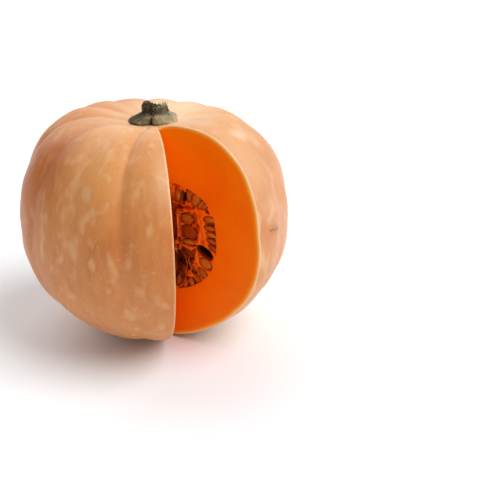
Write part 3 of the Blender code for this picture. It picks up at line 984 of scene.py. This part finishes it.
def seeds(layout):
    """All the seeds of both cuts, each lying in its pocket a little behind the knife's plane."""
    draw = np.random.default_rng(3)
    unit, spread = seed_points()
    patches = []
    for side, (ovals, hollows, _) in layout.items():
        way, into = cut_axes(side)
        for place, level, length, width, tilt, depth, shade in ovals:
            pitch, roll = np.radians(draw.uniform(-SEED_TUMBLE, SEED_TUMBLE, 2))
            lengthwise, crosswise = turned(way, UP, math.radians(tilt))
            lengthwise = turned(lengthwise, into, pitch)[0]
            crosswise = turned(crosswise, np.cross(lengthwise, crosswise), roll)[0]
            normal = np.cross(lengthwise, crosswise)
            size = np.array([length / 2, width / 2, SEED_THICKNESS / 2 / MM]) * MM
            centre = APEX_IN_CAVITY + way * place * MM + UP * level * MM - into * depth * MM
            points = centre + (unit * size) @ np.stack([lengthwise, crosswise, normal])
            # Painted shade: a seed in a deep hollow is darker
            hollow_shade = 0.75 * pulp_hollow_shade(np.array(place * MM), np.array(level * MM), hollows)
            shade = shade + draw.uniform(0, 0.3)
            patches.append((points, {"shade": shade, "margin": spread, "hollow_shade": hollow_shade}))
    sew("seeds", "pulp_and_seeds", patches, seed_finish())


def pulp_strands(layout):
    """Loose fibres of both cuts' pulp: each bends from the cavity's edge in towards its middle."""
    draw = np.random.default_rng(52)
    patches = []
    run = even(STRAND_STEPS)
    arch = np.sin(math.pi * run)
    for side, (_, hollows, _) in layout.items():
        for _ in range(STRANDS):
            turn = math.radians(draw.uniform(-100, 100))
            reach = draw.uniform(15, 21) * MM
            length = draw.uniform(8, 19) * MM
            bend = draw.uniform(-3.5, 3.5) * MM
            wriggle = 0.5 * MM * np.sin(2 * math.pi * run * draw.uniform(1, 2.4))
            sway = bend * arch + wriggle
            radius = reach - length * (run - 0.5)
            along = RELIEF_HUB + radius * math.cos(turn) - sway * math.sin(turn)
            height = 1.35 * (radius * math.sin(turn)) + sway * math.cos(turn)
            depth = (0.4 + draw.uniform(0.6, 2.6) * arch**2) * MM
            deep = [oval for oval in hollows if oval[5] * MM > SHALLOW]
            from_hollow = min(inside_oval(along, height, oval).min() for oval in deep)
            out = cavity_share(side, along, height).max()
            if along.min() < STRAND_CLEAR or out > STRANDS_WITHIN or from_hollow < OFF_HOLLOWS:
                continue
            thick = STRAND_RADIUS * draw.uniform(0.6, 1.3) * arch**0.4
            # A strand takes the pulp's painted shade by depth, at a share of its depth
            fields = {"depth": 0.6 * depth[:, None], "hollow_shade": 0.0}
            patches.append((tube(on_cut(side, along, height, depth), thick), fields))
    sew("pulp_strands", "pulp_and_seeds", patches, bpy.data.materials["stringy_pulp"])


def crown_height(radius, azimuth):
    """Height of the body's crown at a distance from the core axis, without its grooves."""
    radii, heights = body_profile(np.linspace(0.0, 0.6, 400))
    height = np.interp(radius, radii, heights)
    return height + crown_lift(azimuth, radius, height)


def stem_finish():
    """Corky stem: dark brown-grey, paler grey-olive in patches and, as painted light, on the side
    facing the lamp, with traces of green.
    """
    finish, tree, place = new_finish("corky_stem")
    cork = grain(place, 900.0, 4.0, 0.65)
    lines = grain(field(tree, "upright", "Vector"), 46.0, 4.0, 0.6, 0.3)
    # Painted light and shade: the light field, with random pale patches added, pales the side facing
    # the lamp
    light = plus(swing(grain(place, 190.0, 4.0, 0.62), 1.35), field(tree, "light"))
    neck = field(tree, "neck")
    green = between(grain(place, 150.0, 2.0), 0.54, 0.66, 0.4)
    colour = painted(
        (56, 44, 30),
        (between(light, 0.0, 1.0), (192, 179, 145)),
        (times(between(lines, 0.40, 0.58, 0.0, 0.6), neck), (44, 32, 20)),
        (green, (106, 108, 76)),
        (between(cork, 0.56, 0.7, 0.35), (190, 180, 148)),
    )
    torn = times(lines, between(neck, 0.0, 1.0, 1.0, 0.25))
    bumps = relief(torn, 0.0008, 0.5, relief(cork, 0.0005, 0.8))
    return glazed(finish, colour, 0.82, 0.2, bumps)


def stem_cork(finish):
    """The stem: a lobed foot, and a ridged neck with a sunken torn top.

    The surface follows the list of rows. Round each row the radius shrinks in the valleys
    between the lobes and swells with uneven ridges.
    """
    rows = np.array(STEM_ROWS)
    step = np.concatenate([[0], np.cumsum(np.hypot(*np.diff(rows[:, :2], axis=0).T))])
    share = np.linspace(0, step[-1], STEM_GRID[0])
    radius, level, lobe, ridge, lean = (np.interp(share, step, rows[:, k])[:, None] for k in range(5))
    azimuth = np.linspace(-180, 180, STEM_GRID[1])[None, :]
    turn = np.radians(azimuth)
    valley = groove_share(azimuth, STEM_VALLEYS, 0.1, 0.62)
    ring = np.stack([np.sin(turn), -np.cos(turn)], -1)
    ridges = waves(ring * 3.0, (1.0, 2.4), 12, 12)
    narrower, across = STEM_FLATTER
    radius = radius * (1 - narrower * lobe * np.cos(np.radians(azimuth - across)) ** 2)
    radius = radius * MM * (1 - STEM_VALLEY_SHARE * lobe * valley + 0.05 * ridge * ridges)
    high = smooth(8, 11, level)
    level = level + 0.35 * high * waves(ring * 5.0, (0.8, 2.0), 10, 31)
    uneven = 0.6 - 1.3 * valley + 1.6 * np.cos(np.radians(azimuth - 35))
    level = level + lobe * smooth(0, 3, level) * uneven
    seat = crown_height(STEM_SEAT_RADIUS, azimuth)
    place = turned_points(radius, azimuth, seat + level * MM)
    place = place + lean[..., None] * FULL_LEAN
    strip = np.concatenate(np.broadcast_arrays(ring * 26.0, level[..., None] * 0.4), -1)
    cork = 0.25 * MM * waves(place, (1.6 * MM, 5 * MM), 24, 2)
    cork = cork + 0.28 * MM * ridge * waves(strip, (1.5, 4.0), 16, 6)
    place = place + turned_points(cork, azimuth, 0.4 * cork) * (radius > 3 * MM)[..., None]
    # Painted light: paler on the side facing the lamp, less so up the neck, with painted shade in the
    # valleys between the foot's lobes
    facing_lamp = smooth(-0.3, 0.8, np.cos(np.radians(azimuth - 22)))
    light = 0.68 * facing_lamp * (1 - 0.65 * smooth(4.5, 7.0, level)) * (1 - 0.5 * lobe * valley)
    light = light + 0.14 + 0.13 * lobe
    upright = np.stack(np.broadcast_arrays(np.sin(turn), -np.cos(turn), level * 0.02), -1)
    fields = {"upright": upright, "light": light, "neck": smooth(3.5, 6.0, level)}
    sew("stem_cork", "stem", [(place, fields)], finish)


def stem_stub(finish):
    """The rounded stub beside the stem's neck: an upright capsule with a rough skin."""
    polar = np.linspace(0, math.pi, STUB_GRID[0])[:, None]
    turn = np.linspace(0, 2 * math.pi, STUB_GRID[1])[None, :]

    def ringed(radius, height):
        return np.stack(np.broadcast_arrays(radius * np.cos(turn), radius * np.sin(turn), height), -1)

    low, top = STUB_HEIGHTS
    rise = (low + top) / 2 + (top - low) / 2 * np.cos(polar)
    stub = ringed(STUB_RADIUS * np.sin(polar) ** 0.6, rise)
    stub = stub + turned_points(STUB_OFFSET, STUB_AZIMUTH, 0.0)
    stub[..., 2] += crown_height(STEM_SEAT_RADIUS, STUB_AZIMUTH)
    push = 0.3 * MM * waves(stub, (2 * MM, 6 * MM), 20, 14) * np.sin(polar)
    fields = {"upright": ringed(0.5, rise * 20), "light": 0.12, "neck": 0.5}
    sew("stem_stub", "stem", [(stub + ringed(push, 0), fields)], finish)


def stem_fibres():
    """Dry fibres that stand up from the torn side of the stem's top, thin and uneven."""
    finish, _, place = new_finish("dry_fibre")
    tone = between(grain(place, 500.0, 2.0), 0.4, 0.6)
    glazed(finish, painted((150, 138, 104), (tone, (206, 198, 168))), 0.8, 0.2)
    draw = np.random.default_rng(41)
    run = even(7)
    patches = []
    for _ in range(STEM_FIBRES):
        azimuth = draw.uniform(-35, 140)
        radius = draw.uniform(4.4, 6.6) * MM
        foot = turned_points(radius, azimuth, 0.0) + FULL_LEAN
        foot[2] = crown_height(STEM_SEAT_RADIUS, azimuth) + FIBRE_FOOT
        lean = turned_points(draw.uniform(-0.6, 1.2) * MM, azimuth + draw.uniform(-60, 60), 0.0)
        rise = draw.uniform(2.6, 5.2) * MM
        path = foot + run[:, None] * np.array([0, 0, rise]) + (run**2)[:, None] * lean
        thick = draw.uniform(0.14, 0.30) * MM * (1 - run) ** 0.5 * np.minimum(run * 40, 1)
        patches.append((tube(path, thick, 5), {}))
    sew("stem_fibres", "stem", patches, finish)


def camera_axes():
    """Unit vectors of the photograph's view: to its right, up in it, and into it."""
    right, away = turned(Vector((1, 0, 0)), Vector((0, 1, 0)), math.radians(CAMERA_BEARING))
    look = turned(away, Vector(UP), math.radians(-CAMERA_PITCH))[0]
    return right, right.cross(look), look


def add_camera():
    """The camera, set off sideways so that the squash falls where the photograph has it."""
    right, up, look = camera_axes()
    off_right = (AXIS_IN_FRAME[0] - FRAME_PIXELS / 2) / FOCAL_PIXELS * CAMERA_DISTANCE
    off_up = (FRAME_PIXELS / 2 - AXIS_IN_FRAME[1]) / FOCAL_PIXELS * CAMERA_DISTANCE
    lens = bpy.data.cameras.new("camera")
    lens.sensor_width = SENSOR
    lens.lens = FOCAL_PIXELS / FRAME_PIXELS * SENSOR
    camera = linked("camera", lens)
    camera.matrix_world = Matrix((right, up, -look)).transposed().to_4x4()
    aim = Vector((0, 0, AIM_HEIGHT))
    camera.location = aim - look * CAMERA_DISTANCE - right * off_right - up * off_up
    bpy.context.scene.camera = camera


def add_lamp(name, bearing, climb, power, spread):
    """A far, broad lamp: its bearing from the view's right towards its depth, and its climb."""
    right, _, look = camera_axes()
    away = Vector((look.x, look.y, 0)).normalized()
    level = turned(right, away, math.radians(bearing))[0]
    source = turned(level, Vector(UP), math.radians(climb))[0]
    light = bpy.data.lights.new(name, "SUN")
    light.energy = power
    light.angle = math.radians(spread)
    linked(name, light).rotation_euler = source.to_track_quat("Z", "Y").to_euler()


def add_studio():
    """A plain white floor, an even white surround, and a broad lamp at the right and one behind."""
    mesh = bpy.data.meshes.new("floor")
    corners = [(x * FLOOR_REACH, y * FLOOR_REACH, 0) for x, y in ((-1, -1), (1, -1), (1, 1), (-1, 1))]
    mesh.from_pydata(corners, [], [(0, 1, 2, 3)])
    mesh.materials.append(glazed(new_finish("white_floor")[0], FLOOR_WHITE, 0.9, 0.1))
    floor = linked("floor", mesh)
    world = bpy.data.worlds.new("surround")
    bpy.context.scene.world = world
    world.use_nodes = True
    wire(world.node_tree.nodes["Background"], {"Color": (1.0, 1.0, 1.0, 1.0), "Strength": SURROUND})
    for lamp in LAMPS:
        add_lamp(*lamp)
    bpy.context.scene.view_settings.view_transform = "Standard"


def main():
    add_camera()
    add_studio()
    layout = {1: (SEEDS_IN_VIEW, HOLLOWS_IN_VIEW, MEMBRANES_IN_VIEW), -1: ring_ovals(-1)}
    rind_skin()
    flesh_wall()
    pulp_web(layout)
    seeds(layout)
    pulp_strands(layout)
    cork = stem_finish()
    stem_cork(cork)
    stem_stub(cork)
    stem_fibres()


main()
